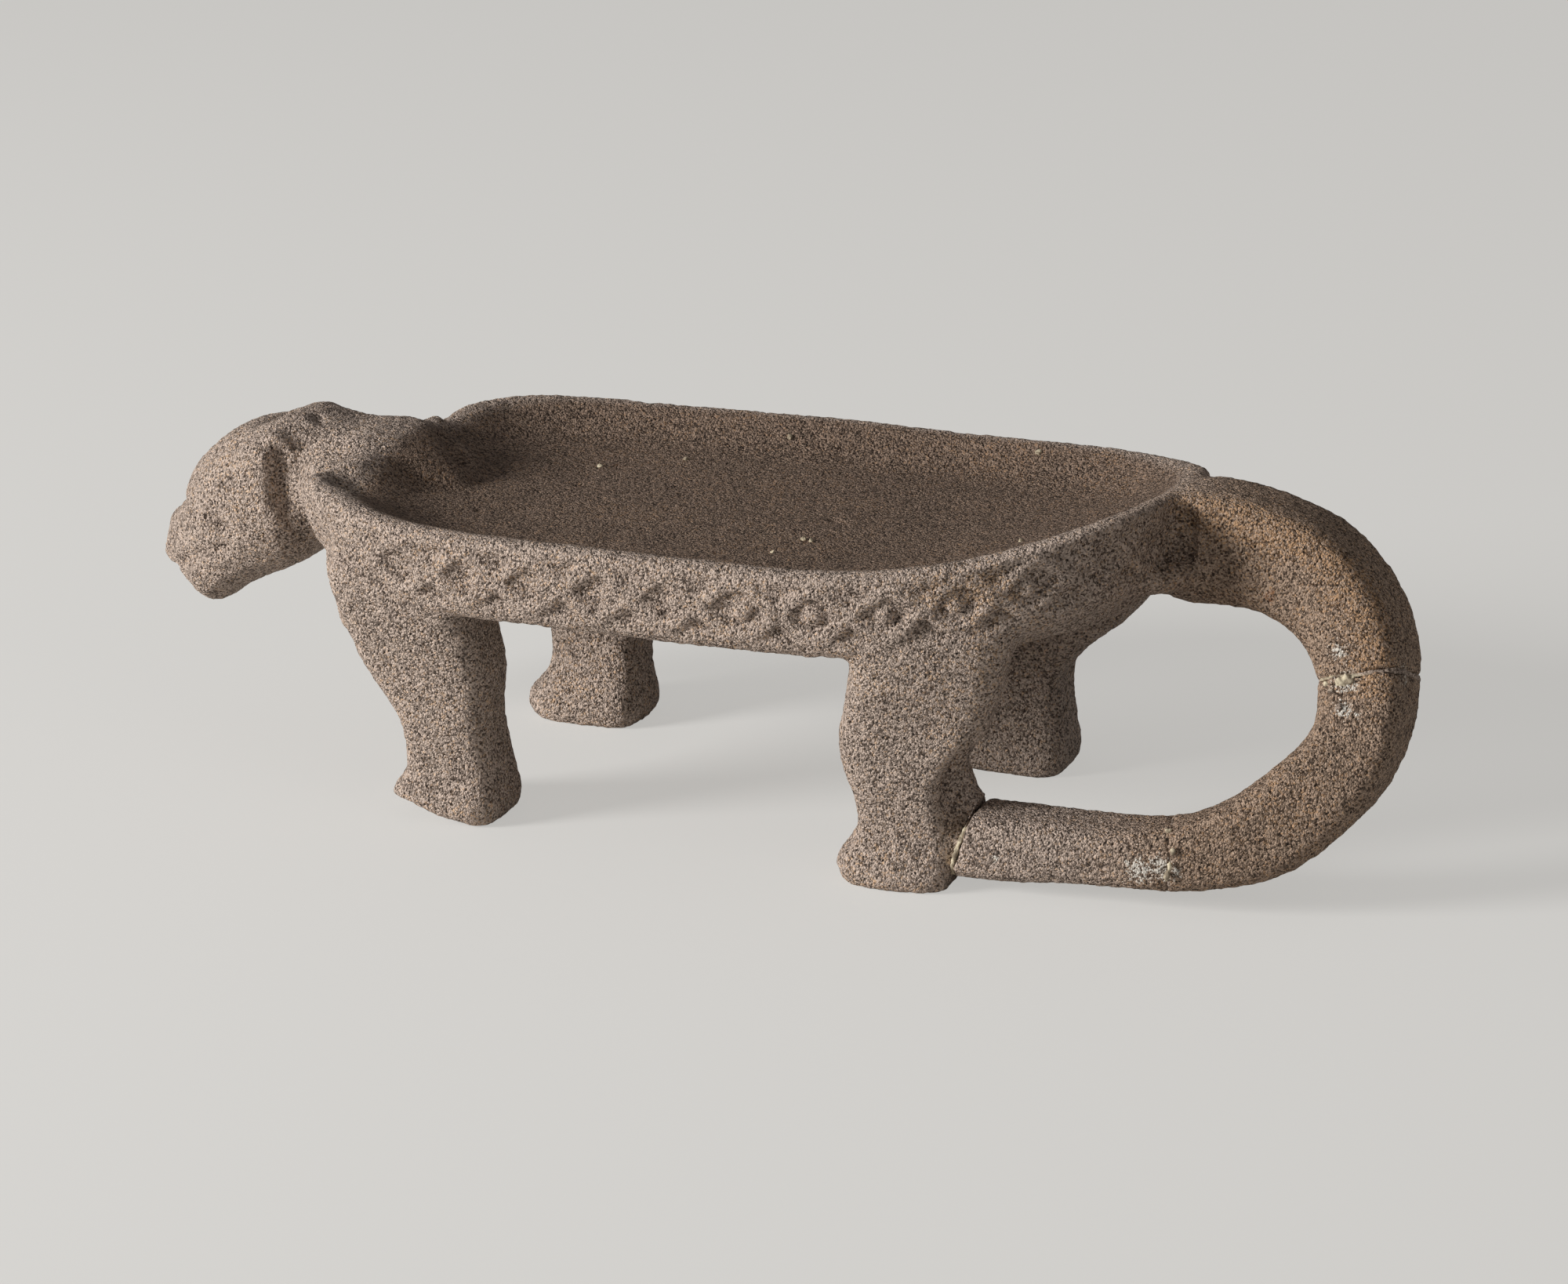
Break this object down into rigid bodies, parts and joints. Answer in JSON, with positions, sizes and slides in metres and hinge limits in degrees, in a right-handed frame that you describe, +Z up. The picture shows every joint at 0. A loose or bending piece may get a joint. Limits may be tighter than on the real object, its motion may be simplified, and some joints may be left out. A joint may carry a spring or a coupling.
{
  "type": "feline effigy metate",
  "caption": "Volcanic stone metate carved as a feline: a shallow dished grinding plate on squat legs, with a head at one end and a mended tail looping down to a hind foot.",
  "frame": {"origin": "on the floor under the middle of the whole object's box", "axes": "+X runs from the head towards the tail, +Y to the animal's right side, +Z up"},
  "size_m": [0.462, 0.184, 0.1274],
  "materials": {
    "volcanic_stone": "pecked and worn, matt, with fine pores",
    "mend_filler": "matt, chalky"
  },
  "bodies": {
    "root": {"grinding_plate": "volcanic_stone", "head": "volcanic_stone", "front_left_leg": "volcanic_stone", "front_right_leg": "volcanic_stone", "hind_left_leg": "volcanic_stone", "hind_right_leg": "volcanic_stone", "tail_root": "volcanic_stone", "tail_bend": "volcanic_stone", "tail_tip": "volcanic_stone", "upper_tail_mend": "mend_filler", "lower_tail_mend": "mend_filler", "foot_mend": "mend_filler"}
  },
  "joints": []
}
